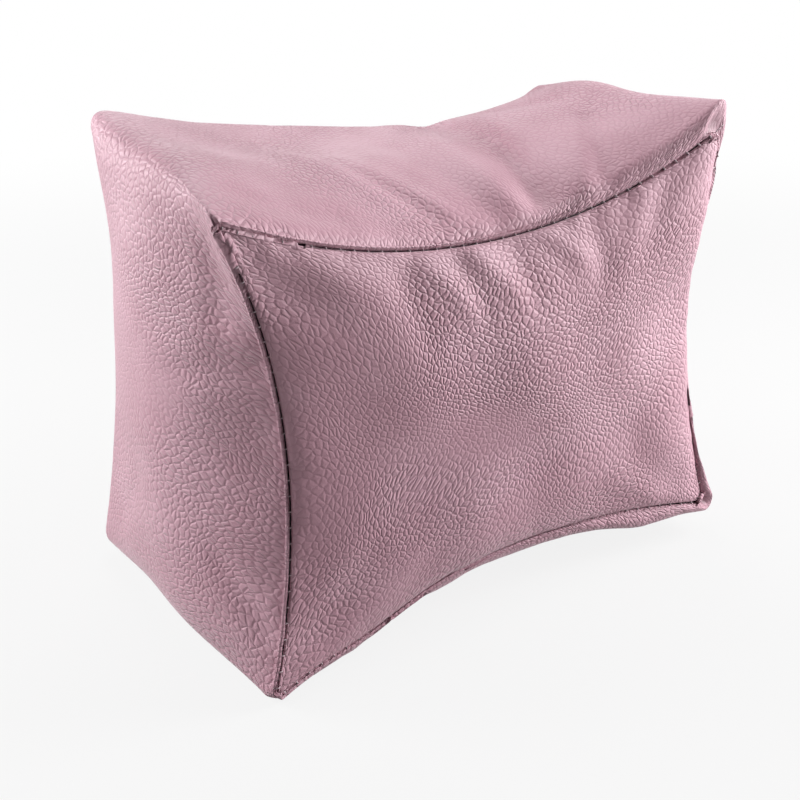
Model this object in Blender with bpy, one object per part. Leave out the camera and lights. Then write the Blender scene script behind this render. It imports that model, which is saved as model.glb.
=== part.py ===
"""A manicure hand rest: a small sewn cushion of soft pink leather.

Two face panels and one long wrap band make the cover. Every cover edge is
turned in along its seam, and the cover is filled with soft fibre. The cushion
stands on the middle of its underside, with the front panel toward -Y.
Units are metres, +Z up, and the origin is at the middle of the base.
"""

import math

import bpy
import numpy as np
from mathutils import Matrix, Vector

# The overall box of the stuffed cushion.
LENGTH = 0.215
DEPTH = 0.130
HEIGHT = 0.175

# The cover material and how it is sewn.
LEATHER = 0.0012
SEAM_GAP = 0.0003
FIT_CLEARANCE = 0.0005
ROLL_RADIUS = 0.0018
DIRECTION_REACH = 0.0036
SEAM_ALLOWANCE = 0.007
CORNER_ALLOWANCE = 0.0022
CORNER_TRIM_START = 0.008
CORNER_TRIM_WIDTH = 0.030
CORNER_SLACK = 0.0008
CORNER_SLACK_REACH = 0.018
CLOSING_ALLOWANCE = 0.007
CLOSING_FROM_EDGE = 0.016
CLOSING_NOTCH = 0.001
CLOSING_SEAM_X = -0.054

# Corner tips of each loop, measured inward from the box: from the end, from the
# face, and from the base or the top. The corners run bottom left, bottom right,
# top right, top left, as seen from the front. No two are alike, because the
# filling lies unevenly.
FRONT_SEAM_TIPS = (
    (0.0150, 0.0014, 0.0070),
    (0.0095, 0.0040, 0.0155),
    (0.0190, 0.0060, 0.0125),
    (0.0085, 0.0044, 0.0145),
)
FRONT_LIP_TIPS = (
    (0.0090, 0.0020, 0.0010),
    (-0.0006, 0.0030, 0.0095),
    (0.0080, 0.0080, 0.0036),
    (-0.0006, 0.0034, 0.0070),
)
MIDDLE_TIPS = (
    (0.0060, DEPTH / 2, 0.0065),
    (0.0060, DEPTH / 2, 0.0065),
    (0.0060, DEPTH / 2, 0.0065),
    (0.0070, DEPTH / 2, 0.0035),
)
BACK_LIP_TIPS = (
    (0.0050, 0.0042, 0.0050),
    (-0.0006, 0.0045, 0.0020),
    (0.0010, 0.0075, 0.0146),
    (0.0080, 0.0105, 0.0006),
)
BACK_SEAM_TIPS = (
    (0.0145, 0.0018, 0.0135),
    (0.0090, 0.0018, 0.0115),
    (0.0105, 0.0038, 0.0230),
    (0.0170, 0.0088, 0.0090),
)

# How far each loop is drawn in at the middle of its bottom, right, top and left
# side, from the line of its tips. A minus sign means that it swells out.
FRONT_SEAM_DRAWS = (0.0120, 0.0040, 0.0244, 0.0160)
FRONT_LIP_DRAWS = (0.0130, 0.0110, 0.0300, 0.0170)
MIDDLE_DRAWS = (-0.0125, -0.0030, 0.0130, -0.0040)
BACK_LIP_DRAWS = (0.0160, 0.0140, 0.0125, 0.0050)
BACK_SEAM_DRAWS = (0.0160, 0.0140, 0.0104, 0.0040)
# The middle of every edge also lies further from the face than its tips.
EDGE_PULL_BACK = 0.0077
# The back's top edge is drawn in most at this share of the way from its right tip.
BACK_TOP_PEAK = 0.38

PANEL_CORNER_RADIUS = 0.024
LIP_CORNER_RADIUS = 0.014
MIDDLE_CORNER_RADIUS = 0.022

# The swell of the face panels and the shape of the band's cross-section.
PANEL_SWELL = 0.0145
PANEL_FULLNESS = 0.6
BAND_ROLL_WIDTH = 0.0065
BAND_FULLNESS = 0.9

# Gathers that run out of the seams, and long creases across the top.
GATHER_HEIGHT = 0.0012
GATHER_REACH = 0.026
GATHER_START = 0.009
GATHERS_LONG = 4
GATHERS_SHORT = 3
CREASE_DEPTH = 0.0035
CREASE_HALF_WIDTH = 0.011
CREASE_FROM_SEAM = 0.006
CREASE_FADE = 0.014
# Each crease is (x, y) of its start and of its end on the top.
TOP_CREASES = (
    ((0.040, 0.034), (0.022, -0.045)),
    ((0.080, -0.005), (0.042, -0.052)),
)

# The mesh of the leather.
LONG_STEPS = 17
SHORT_STEPS = 15
ROLL_STEPS = 3
LIP_ROWS = (0.0050, 0.0100)
MIDDLE_ROWS = (0.22, 0.36, 0.64, 0.78)
CORNER_CROWDING = 0.1
# Stations nearer than this share of a step to the closing seam are left out.
CLOSING_ROOM = 0.25
# Edges between facets that meet at less than this angle, in degrees, look smooth.
SMOOTH_BELOW = 50.0

LEATHER_PINK = (0.60, 0.39, 0.47, 1.0)
LEATHER_ROUGHNESS = 0.52
FIBRE_WHITE = (0.86, 0.85, 0.82, 1.0)
FIBRE_ROUGHNESS = 0.95

BOTTOM, RIGHT, TOP, LEFT = range(4)
# Corner signs in the order bottom left, bottom right, top right, top left.
CORNER_SIGNS = ((-1, -1), (1, -1), (1, 1), (-1, 1))
DRAWN_TO = ((0, 0, 1), (-1, 0, 0), (0, 0, -1), (1, 0, 0))
CORNER_ROUNDS = 6


def clear_scene():
    """Remove whatever the file holds at the start."""
    for item in list(bpy.data.objects):
        bpy.data.objects.remove(item, do_unlink=True)


def unit(vectors):
    """Vectors scaled to length one, along the last axis."""
    size = np.linalg.norm(vectors, axis=-1, keepdims=True)
    return vectors / np.maximum(size, 1e-12)


def quarter_round(share):
    """Rises like a quarter circle from 0 to 1 and stays there."""
    rest = 1.0 - np.clip(share, 0.0, 1.0)
    return np.sqrt(1.0 - rest**2)


def crowded(steps):
    """Stations from 0 to 1 that lie closer together near both ends."""
    even = np.linspace(0.0, 1.0, steps + 1)
    crowd = 0.5 - 0.5 * np.cos(math.pi * even)
    return CORNER_CROWDING * crowd + (1.0 - CORNER_CROWDING) * even


def long_stations():
    """Stations along the long sides, with a narrow pair at the closing seam."""
    plain = crowded(LONG_STEPS)
    half = (ROLL_RADIUS + SEAM_GAP / 2) / LENGTH
    seam = 0.5 + CLOSING_SEAM_X / LENGTH
    away = plain[np.abs(plain - seam) > CLOSING_ROOM / LONG_STEPS]
    return np.sort(np.concatenate([away, [seam - half, seam + half]]))


def tips_in_box(insets, face):
    """Corner tips in space; face is -1 at the front and 1 at the back."""
    tips = []
    for (end_sign, sill_sign), (end, depth, sill) in zip(CORNER_SIGNS, insets):
        height = HEIGHT - sill if sill_sign > 0 else sill
        tips.append((end_sign * (LENGTH / 2 - end), face * (DEPTH / 2 - depth), height))
    return np.array(tips)


class Outline:
    """A closed four-sided outline with drawn-in sides and rounded corners."""

    def __init__(self, tips, draws, pull, radius, top_peak=0.5):
        self.corners, self.pull, self.radius = tips, pull, radius
        self.sags, self.top_peak = list(draws), top_peak
        middle = np.array([0.5])
        for _ in range(CORNER_ROUNDS):
            tip = np.array([self.corner_curve(k, middle)[0] for k in range(4)])
            self.corners = self.corners + tips - tip
            out = self.corners - tips
            both = [out[k] + out[(k + 1) % 4] for k in range(4)]
            self.sags = [draws[k] - both[k] @ DRAWN_TO[k] / 2 for k in range(4)]

    def sharp(self, side, q):
        """Points on one side before its corners are rounded."""
        a, b = self.corners[side], self.corners[(side + 1) % 4]
        peak = self.top_peak if side == TOP else 0.5
        skewed = q ** (math.log(0.5) / math.log(peak))
        weight = 4 * skewed * (1 - skewed)
        points = a + (b - a) * q[:, None]
        points += np.outer(weight, DRAWN_TO[side]) * self.sags[side]
        points[:, 1] += weight * self.pull
        return points

    def span(self, side):
        """Straight distance between the corners of a side."""
        return np.linalg.norm(self.corners[(side + 1) % 4] - self.corners[side])

    def corner_curve(self, corner, share):
        """A parabola round one corner, share 0 to 1 along it."""
        before = (corner - 1) % 4
        back = self.radius / self.span(before)
        ahead = self.radius / self.span(corner)
        start = self.sharp(before, np.array([1.0 - back]))[0]
        end = self.sharp(corner, np.array([ahead]))[0]
        s = share[:, None]
        tip = self.corners[corner]
        return (1 - s) ** 2 * start + 2 * s * (1 - s) * tip + s**2 * end

    def side(self, side, q):
        """Points on one side at the stations q, rounded at both ends."""
        reach = self.radius / self.span(side)
        points = self.sharp(side, q)
        near = q < reach
        points[near] = self.corner_curve(side, 0.5 + 0.5 * q[near] / reach)
        far = q > 1 - reach
        left = (q[far] - (1 - reach)) / reach
        points[far] = self.corner_curve((side + 1) % 4, 0.5 * left)
        return points


def seam_outline(face):
    """The seam of a face panel; face is -1 at the front and 1 at the back."""
    if face < 0:
        tips = tips_in_box(FRONT_SEAM_TIPS, face)
        return Outline(tips, FRONT_SEAM_DRAWS, EDGE_PULL_BACK, PANEL_CORNER_RADIUS)
    tips = tips_in_box(BACK_SEAM_TIPS, face)
    return Outline(tips, BACK_SEAM_DRAWS, -EDGE_PULL_BACK, PANEL_CORNER_RADIUS, BACK_TOP_PEAK)


def lip_outline(face):
    """The rolled lip of the band just behind a seam."""
    if face < 0:
        tips = tips_in_box(FRONT_LIP_TIPS, face)
        return Outline(tips, FRONT_LIP_DRAWS, EDGE_PULL_BACK, LIP_CORNER_RADIUS)
    tips = tips_in_box(BACK_LIP_TIPS, face)
    return Outline(tips, BACK_LIP_DRAWS, -EDGE_PULL_BACK, LIP_CORNER_RADIUS, BACK_TOP_PEAK)


def middle_outline():
    """The band halfway between its seams."""
    return Outline(tips_in_box(MIDDLE_TIPS, 1), MIDDLE_DRAWS, 0.0, MIDDLE_CORNER_RADIUS)


def side_stations(side):
    """Stations in the running direction of a side."""
    if side in (BOTTOM, TOP):
        stations = long_stations()
    else:
        stations = crowded(SHORT_STEPS)
    return stations if side in (BOTTOM, RIGHT) else 1.0 - stations[::-1]


def ring(outline):
    """The whole outline as one closed ring of points, from the bottom left."""
    sides = [outline.side(k, side_stations(k))[:-1] for k in range(4)]
    return np.concatenate(sides)


def gathers(run, count, distance):
    """Height of the gathers at a share run along a side and a distance from it."""
    wave = np.cos(2 * math.pi * count * run) * np.sin(math.pi * run)
    rise = 1 - np.exp(-((distance / GATHER_START) ** 2))
    return GATHER_HEIGHT * wave * rise * np.exp(-((distance / GATHER_REACH) ** 2))


def panel_points(face, u, v):
    """Outer surface of a face panel at all pairs of stations u (x) and v (z)."""
    outline = seam_outline(face)
    low, high = outline.side(BOTTOM, u), outline.side(TOP, 1.0 - u)
    right, left = outline.side(RIGHT, v), outline.side(LEFT, 1.0 - v)
    across, up = u[None, :, None], v[:, None, None]
    points = (1 - up) * low[None] + up * high[None]
    points = points + (1 - across) * left[:, None] + across * right[:, None]
    ends = np.array([0.0, 1.0])
    low_ends, high_ends = outline.side(BOTTOM, ends), outline.side(TOP, 1.0 - ends)
    points = points - (1 - up) * ((1 - across) * low_ends[0] + across * low_ends[1])
    points = points - up * ((1 - across) * high_ends[0] + across * high_ends[1])
    full_u = np.clip(4 * u * (1 - u), 0, 1) ** PANEL_FULLNESS
    full_v = np.clip(4 * v * (1 - v), 0, 1) ** PANEL_FULLNESS
    from_ends = np.minimum(u, 1 - u)[None, :] * LENGTH
    from_sills = np.minimum(v, 1 - v)[:, None] * HEIGHT
    swell = PANEL_SWELL * np.outer(full_v, full_u)
    swell = swell + gathers(u[None, :], GATHERS_LONG, from_sills)
    swell = swell + gathers(v[:, None], GATHERS_SHORT, from_ends)
    points[:, :, 1] += face * swell
    return points


def crease_depth(x, y):
    """How deep the top is creased at x, y."""
    depth = np.zeros_like(x)
    for start, end in TOP_CREASES:
        a, b = np.array(start), np.array(end)
        run = b - a
        share = ((x - a[0]) * run[0] + (y - a[1]) * run[1]) / (run @ run)
        held = np.clip(share, 0.0, 1.0)
        off = np.hypot(x - a[0] - held * run[0], y - a[1] - held * run[1])
        depth += CREASE_DEPTH * np.exp(-((off / CREASE_HALF_WIDTH) ** 2))
    return depth


def band_points(t):
    """Outer surface of the wrap band: row by row from the front seam to the back."""
    middle = ring(middle_outline())
    edges = {face: (ring(seam_outline(face)), ring(lip_outline(face))) for face in (-1, 1)}
    roll = BAND_ROLL_WIDTH / DEPTH
    rows = []
    for station in t:
        face = -1 if station <= 0.5 else 1
        x = station if station <= 0.5 else 1.0 - station
        seam, lip = edges[face]
        turn = quarter_round(x / roll)
        bulge = math.sin(math.pi * x) ** BAND_FULLNESS
        row = seam + turn * (lip - seam) + bulge * (middle - lip)
        straight = seam[:, 1] + (middle[:, 1] - seam[:, 1]) * 2 * x
        row[:, 1] = straight + (lip[:, 1] - seam[:, 1]) * turn * (1 - 2 * x)
        rows.append(row)
    points = np.array(rows)
    on_top = np.zeros(points.shape[:2])
    first = len(side_stations(BOTTOM)) + len(side_stations(RIGHT)) - 2
    last = first + len(side_stations(TOP)) - 1
    on_top[:, first : last + 1] = 1.0
    from_seam = np.minimum(t, 1 - t) * DEPTH - CREASE_FROM_SEAM
    clear = np.clip(from_seam / CREASE_FADE, 0.0, 1.0)[:, None]
    points[..., 2] -= on_top * clear * crease_depth(points[..., 0], points[..., 1])
    points[..., 2] = np.maximum(points[..., 2], 0.0)
    return points


def ring_tangents(points):
    """Running direction at each point of a closed ring."""
    return unit(np.roll(points, -1, axis=0) - np.roll(points, 1, axis=0))


def trimmed_allowance():
    """How deep the leather is turned in round a seam, trimmed short at the corners."""
    spans = (LENGTH, HEIGHT, LENGTH, HEIGHT)
    room = []
    for side, span in enumerate(spans):
        stations = side_stations(side)[:-1]
        room.append(np.minimum(stations, 1 - stations) * span)
    beyond = np.concatenate(room) - CORNER_TRIM_START
    share = np.clip(beyond / CORNER_TRIM_WIDTH, 0.0, 1.0)
    full = CORNER_ALLOWANCE + (SEAM_ALLOWANCE - CORNER_ALLOWANCE) * share
    return full[:, None]


class Seam:
    """One seam between a face panel and the band, with its rolled edges."""

    def __init__(self, face):
        self.line = ring(seam_outline(face))
        self.allowance = trimmed_allowance()
        tangent = ring_tangents(self.line)
        in_panel = panel_ring(face, DIRECTION_REACH)
        share = DIRECTION_REACH / DEPTH
        in_band = band_points(np.array([share, 1 - share]))
        in_band = in_band[0] if face < 0 else in_band[1]
        self.panel_way = square_to(in_panel - self.line, tangent)
        self.band_way = square_to(in_band - self.line, tangent)
        out_panel = -face * np.cross(tangent, self.panel_way)
        out_band = face * np.cross(tangent, self.band_way)
        self.inward = -unit(out_panel + out_band)
        self.panel_side = square_to(self.panel_way, self.inward)
        self.band_side = square_to(self.band_way, self.inward)

    def rolled_edge(self, way, side):
        """Rows from the tangent of the roll down to the end of the allowance."""
        apex = self.line + side * SEAM_GAP / 2
        return rolled_rows(apex, way, self.inward, self.allowance)

    def panel_edge(self):
        return self.rolled_edge(self.panel_way, self.panel_side)

    def band_edge(self):
        return self.rolled_edge(self.band_way, self.band_side)

    def roll_centres(self, way, side):
        """The line round which the leather turns in."""
        apex = self.line + side * SEAM_GAP / 2
        return roll_centre(apex, way, self.inward)

    def channel(self, way, side):
        """Rows of the filling beside and below one turned-in allowance."""
        centre = self.roll_centres(way, side)
        depth = self.allowance + FIT_CLEARANCE
        below = self.line + self.inward * depth + side * (ROLL_RADIUS + SEAM_GAP / 2)
        return centre, below


def square_to(vectors, axis):
    """The part of each vector square to an axis, at length one."""
    along = np.sum(vectors * axis, axis=-1, keepdims=True)
    return unit(vectors - along * axis)


def roll_half_angle(way, inward):
    """Half of the angle between the surface and the allowance."""
    cosine = np.clip(np.sum(way * inward, axis=-1, keepdims=True), -1.0, 1.0)
    return np.arccos(cosine) / 2


def roll_centre(apex, way, inward):
    """Centre of the round that joins the surface to the allowance."""
    half = roll_half_angle(way, inward)
    return apex + unit(way + inward) * ROLL_RADIUS / np.sin(half)


def rolled_rows(apex, way, inward, allowance):
    """Rows over the rolled edge, from the surface to the allowance's end."""
    half = roll_half_angle(way, inward)
    reach = ROLL_RADIUS / np.tan(half)
    centre = roll_centre(apex, way, inward)
    start = apex + way * reach - centre
    end = apex + inward * reach - centre
    sweep = math.pi - 2 * half
    rows = []
    for step in range(ROLL_STEPS + 1):
        share = step / ROLL_STEPS
        a = np.sin((1 - share) * sweep) / np.sin(sweep)
        b = np.sin(share * sweep) / np.sin(sweep)
        rows.append(centre + a * start + b * end)
    rows.append(apex + inward * allowance)
    return rows


def panel_ring(face, inset):
    """A ring on a face panel, inset from its seam by about a distance."""
    u, v = long_stations(), crowded(SHORT_STEPS)
    du, dv = inset / LENGTH, inset / HEIGHT
    across = np.concatenate([[du], u[1:-1], [1 - du]])
    up = np.concatenate([[dv], v[1:-1], [1 - dv]])
    return grid_border(panel_points(face, across, up))


def grid_border(grid):
    """The border of a grid as a ring that starts at the bottom left."""
    sides = (grid[0, :-1], grid[:-1, -1], grid[-1, :0:-1], grid[:0:-1, 0])
    return np.concatenate(sides)


def set_grid_border(grid, border):
    """Write a ring back to the border of a grid."""
    rows, columns = grid.shape[0] - 1, grid.shape[1] - 1
    a, b, c = columns, columns + rows, 2 * columns + rows
    grid[0, :-1] = border[:a]
    grid[:-1, -1] = border[a:b]
    grid[-1, :0:-1] = border[b:c]
    grid[:0:-1, 0] = border[c:]


class Sheet:
    """Collects points and four-cornered faces for one mesh."""

    def __init__(self):
        self.points, self.faces = [], []

    def add(self, points):
        """Add an array of points and return their numbers in the same shape."""
        flat = np.asarray(points, float).reshape(-1, 3)
        first = len(self.points)
        self.points.extend(map(tuple, flat))
        return np.arange(first, first + len(flat)).reshape(np.shape(points)[:-1])

    def cell(self, a, b, c, d, other=False):
        """Two triangles, split from the first corner or, if other, the second."""
        corners = [int(k) for k in ((b, c, d, a) if other else (a, b, c, d))]
        self.faces.append((corners[0], corners[1], corners[2]))
        self.faces.append((corners[0], corners[2], corners[3]))

    def turn_over(self, first):
        """Turn the faces from number first onward to face the other way."""
        self.faces[first:] = [face[::-1] for face in self.faces[first:]]

    def fill(self, low, high, closed):
        """Join two rows of point numbers with faces."""
        count = len(low)
        for i in range(count if closed else count - 1):
            j = (i + 1) % count
            self.cell(low[i], low[j], high[j], high[i])

    def fill_rings(self, numbers):
        """Join closed rings of point numbers, each with the next."""
        for low, high in zip(numbers[:-1], numbers[1:]):
            self.fill(low, high, closed=True)

    def fill_strip(self, numbers):
        """Join open rows of point numbers, each with the next."""
        for low, high in zip(numbers[:-1], numbers[1:]):
            self.fill(low, high, closed=False)

    def fill_panel(self, numbers):
        """Join the rows of a panel; every split runs toward the nearest corner."""
        rows, columns = numbers.shape[0] - 1, numbers.shape[1] - 1
        for r in range(rows):
            for c in range(columns):
                low, high = numbers[r, c : c + 2], numbers[r + 1, c : c + 2]
                other = (c < columns / 2) != (r < rows / 2)
                self.cell(low[0], low[1], high[1], high[0], other)

    def normals(self):
        """Unit normals at the points, weighted by the size of the faces."""
        points, faces = np.array(self.points), np.array(self.faces)
        a, b, c = (points[faces[:, k]] for k in range(3))
        across = np.cross(b - a, c - a)
        total = np.zeros_like(points)
        for k in range(3):
            np.add.at(total, faces[:, k], across)
        return unit(total)

    def to_object(self, name, material, flip=False):
        mesh = bpy.data.meshes.new(name)
        if flip:
            self.turn_over(0)
        mesh.from_pydata(self.points, [], self.faces)
        mesh.update()
        item = bpy.data.objects.new(name, mesh)
        bpy.context.scene.collection.objects.link(item)
        mesh.materials.append(material)
        mesh.shade_smooth()
        mesh.set_sharp_from_angle(angle=math.radians(SMOOTH_BELOW))
        return item


def make_material(name, colour, roughness):
    material = bpy.data.materials.new(name)
    material.use_nodes = True
    shader = material.node_tree.nodes["Principled BSDF"]
    shader.inputs["Base Color"].default_value = colour
    shader.inputs["Roughness"].default_value = roughness
    shader.inputs["Metallic"].default_value = 0.0
    return material


def thicken(item):
    """Give a leather sheet its thickness, inward from its outer face."""
    solid = item.modifiers.new("leather", "SOLIDIFY")
    solid.thickness = LEATHER
    solid.offset = -1.0
    solid.use_quality_normals = True


def panel_grid(face):
    """Outer points of a face panel out to where its edge starts to roll in."""
    grid = panel_points(face, long_stations(), crowded(SHORT_STEPS))
    set_grid_border(grid, Seam(face).panel_edge()[0])
    return grid


def make_panel(face, name, material):
    """One face panel, swollen by the filling, with its edge turned in."""
    sheet = Sheet()
    numbers = sheet.add(panel_grid(face))
    sheet.fill_panel(numbers)
    outer = grid_border(numbers)
    for row in Seam(face).panel_edge()[1:]:
        inner = sheet.add(row)
        sheet.fill(inner, outer, closed=True)
        outer = inner
    item = sheet.to_object(name, material, flip=face > 0)
    thicken(item)
    return item


def closing_index():
    """Number of the ring point just before the closing seam."""
    seam = 0.5 + CLOSING_SEAM_X / LENGTH
    return int(np.searchsorted(long_stations(), seam)) - 1


def band_rows():
    """Stations across the band, with a pair where the closing turn begins."""
    edge = [*LIP_ROWS, CLOSING_FROM_EDGE - CLOSING_NOTCH, CLOSING_FROM_EDGE]
    edge = np.array(edge) / DEPTH
    return np.concatenate([edge, MIDDLE_ROWS, 1 - edge[::-1]])


def closing_columns(count):
    """First and last main row that the closing turn covers."""
    first = len(LIP_ROWS) + 1
    return first, count - 1 - first


def make_band(name, material):
    """The wrap band: one strip whose ends meet in a seam on the underside."""
    front, back = Seam(-1).band_edge(), Seam(1).band_edge()
    main = band_points(band_rows())
    rows = np.array([*front[::-1], *main, *back])
    lead = len(front)
    start = closing_index()
    rows = np.roll(rows, -(start + 1), axis=1)
    sheet = Sheet()
    numbers = sheet.add(rows)
    sheet.fill_strip(numbers)
    flap_from, flap_to = closing_columns(len(main))
    flap_from, flap_to = flap_from + lead, flap_to + lead
    for column, way in ((-1, -1.0), (0, 1.0)):
        edge, line = numbers[:, column], rows[:, column]
        other = rows[:, -1 - column]
        side = unit(line - other)
        apex = line + (other - line) * ROLL_RADIUS / (2 * ROLL_RADIUS + SEAM_GAP)
        inward = np.tile((0.0, 0.0, 1.0), (len(line), 1))
        flap = slice(flap_from, flap_to + 1)
        outer = edge[flap]
        turned = rolled_rows(apex[flap], side[flap], inward[flap], CLOSING_ALLOWANCE)
        for row in turned[1:]:
            inner = sheet.add(row)
            if way < 0:
                join_rows(sheet, outer, inner)
            else:
                join_rows(sheet, inner, outer)
            outer = inner
        for part in (slice(0, flap_from), slice(flap_to + 1, len(edge))):
            inner = sheet.add(apex[part])
            if way < 0:
                join_rows(sheet, edge[part], inner)
            else:
                join_rows(sheet, inner, edge[part])
    item = sheet.to_object(name, material, flip=True)
    thicken(item)
    return item


def join_rows(sheet, left, right):
    """Faces between two columns of point numbers that run across the band."""
    for k in range(len(left) - 1):
        sheet.cell(left[k], right[k], right[k + 1], left[k + 1])


def filling_depth(points):
    """How far the fibre lies under the outer surface, more in the corner tips."""
    to_end = LENGTH / 2 - np.abs(points[..., 0])
    to_sill = HEIGHT / 2 - np.abs(points[..., 2] - HEIGHT / 2)
    away = np.hypot(to_end, to_sill) / CORNER_SLACK_REACH
    return (LEATHER + FIT_CLEARANCE + CORNER_SLACK * np.exp(-(away**2)))[..., None]


def inner_panel(face):
    """The filling's surface behind a face panel."""
    seam = Seam(face)
    outer = panel_grid(face)
    sheet = Sheet()
    sheet.fill_panel(sheet.add(outer))
    toward_front = sheet.normals().reshape(outer.shape)
    inner = outer + face * toward_front * filling_depth(outer)
    set_grid_border(inner, seam.roll_centres(seam.panel_way, seam.panel_side))
    return inner


def inner_band():
    """The filling's surface behind the band."""
    rows = band_points(band_rows())
    edges = (Seam(-1).band_edge()[0], Seam(1).band_edge()[0])
    outer = np.array([edges[0], *rows, edges[1]])
    sheet = Sheet()
    sheet.fill_rings(sheet.add(outer))
    inner = outer + sheet.normals().reshape(outer.shape) * filling_depth(outer)
    return inner[1:-1]


def closing_channel(rows):
    """Four rings where two were, with a channel for the turned-in closing ends."""
    start = closing_index()
    before, after = rows[:, start], rows[:, start + 1]
    depth = CLOSING_ALLOWANCE - LEATHER
    third = (after - before) / 3
    low, high = before + third, after - third
    flap_from, flap_to = closing_columns(len(rows))
    deep = slice(flap_from - 1, flap_to + 2)
    for ring_points, edge in ((low, before), (high, after)):
        ring_points[deep] = edge[deep]
        ring_points[deep, 2] += depth
    parts = [rows[:, : start + 1], low[:, None], high[:, None], rows[:, start + 1 :]]
    return np.concatenate(parts, axis=1)


def make_filling(name, material):
    """The soft fibre core, channelled round every turned-in allowance."""
    sheet = Sheet()
    start = closing_index()
    rims, channels = [], []
    for face in (-1, 1):
        first = len(sheet.faces)
        numbers = sheet.add(inner_panel(face))
        sheet.fill_panel(numbers)
        if face > 0:
            sheet.turn_over(first)
        rims.append(grid_border(numbers))
        seam = Seam(face)
        below_panel = seam.channel(seam.panel_way, seam.panel_side)[1]
        centre, below_band = seam.channel(seam.band_way, seam.band_side)
        channels.append([below_panel, below_band, centre])
    inside = closing_channel(np.array(inner_band()))
    wide = [spread_at(row, start) for row in channels[0]]
    wide.extend(inside)
    wide.extend(spread_at(row, start) for row in channels[1][::-1])
    first = len(sheet.faces)
    numbers = sheet.add(np.array(wide))
    sheet.fill_rings(numbers)
    sheet.turn_over(first)
    join_rim(sheet, rims[0], numbers[0], start, flip=True)
    join_rim(sheet, rims[1], numbers[-1], start, flip=False)
    return sheet.to_object(name, material)


def spread_at(row, start):
    """A ring with two more points inside the narrow pair at the closing seam."""
    third = (row[start + 1] - row[start]) / 3
    extra = [row[start] + third, row[start + 1] - third]
    return np.concatenate([row[: start + 1], extra, row[start + 1 :]])


def join_rim(sheet, rim, row, start, flip):
    """Faces from a panel's rim to the first ring of the band's filling."""
    count = len(rim)
    for i in range(count):
        j = (i + 1) % count
        a = i if i <= start else i + 2
        b = j if j <= start else j + 2
        if i == start:
            corners = [rim[i], rim[j], row[b], row[b - 1], row[b - 2], row[a]]
        else:
            corners = [rim[i], rim[j], row[b], row[a]]
        corners = [int(c) for c in corners]
        sheet.faces.append(tuple(corners[::-1] if flip else corners))


def centre_on_box(items):
    """Move the meshes so that the origin is the middle of the base."""
    corners = [Vector(corner) for item in items for corner in item.bound_box]
    low = [min(c[k] for c in corners) for k in range(3)]
    high = [max(c[k] for c in corners) for k in range(3)]
    middle = Vector(((low[0] + high[0]) / 2, (low[1] + high[1]) / 2, low[2]))
    for item in items:
        item.data.transform(Matrix.Translation(-middle))


def main():
    clear_scene()
    leather = make_material("pink_leather", LEATHER_PINK, LEATHER_ROUGHNESS)
    fibre = make_material("white_fibre", FIBRE_WHITE, FIBRE_ROUGHNESS)
    cover = [
        make_panel(-1, "front_panel", leather),
        make_panel(1, "back_panel", leather),
        make_band("wrap_band", leather),
        make_filling("filling", fibre),
    ]
    centre_on_box(cover)


main()
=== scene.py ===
"""The looks of a small sewn leather hand rest: cover, stitches and fibre core.

Each cover surface is lofted from a few loops that run round the cushion. It is
then swollen as cloth over its filling, creased and gathered, and its edges are
rolled into the seams. Lengths are in millimetres in the tables and in metres
everywhere else.
"""

import math

import bpy
import numpy as np
from mathutils import Matrix


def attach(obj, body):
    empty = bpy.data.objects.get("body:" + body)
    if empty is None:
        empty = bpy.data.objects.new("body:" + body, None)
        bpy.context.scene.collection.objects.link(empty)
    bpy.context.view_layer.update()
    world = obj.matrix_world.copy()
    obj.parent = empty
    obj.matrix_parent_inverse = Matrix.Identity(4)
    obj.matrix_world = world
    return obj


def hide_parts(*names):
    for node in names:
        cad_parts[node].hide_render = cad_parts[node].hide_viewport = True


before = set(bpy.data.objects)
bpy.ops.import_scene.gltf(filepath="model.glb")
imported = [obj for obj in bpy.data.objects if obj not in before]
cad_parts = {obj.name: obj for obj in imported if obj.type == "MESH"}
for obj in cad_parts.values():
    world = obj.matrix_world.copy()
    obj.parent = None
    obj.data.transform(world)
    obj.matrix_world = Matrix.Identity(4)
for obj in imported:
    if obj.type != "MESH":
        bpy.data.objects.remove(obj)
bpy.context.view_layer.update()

MM = 0.001
LENGTH, DEPTH, HEIGHT = 0.215, 0.130, 0.175
BOTTOM, RIGHT, TOP, LEFT = range(4)
DRAWN_TO = np.array([[0, 0, 1.0], [-1.0, 0, 0], [0, 0, -1.0], [1.0, 0, 0]])
CENTRE = np.array([0.0, 0.0, HEIGHT / 2])
X_AXIS, Y_AXIS, Z_AXIS = np.eye(3)

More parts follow.
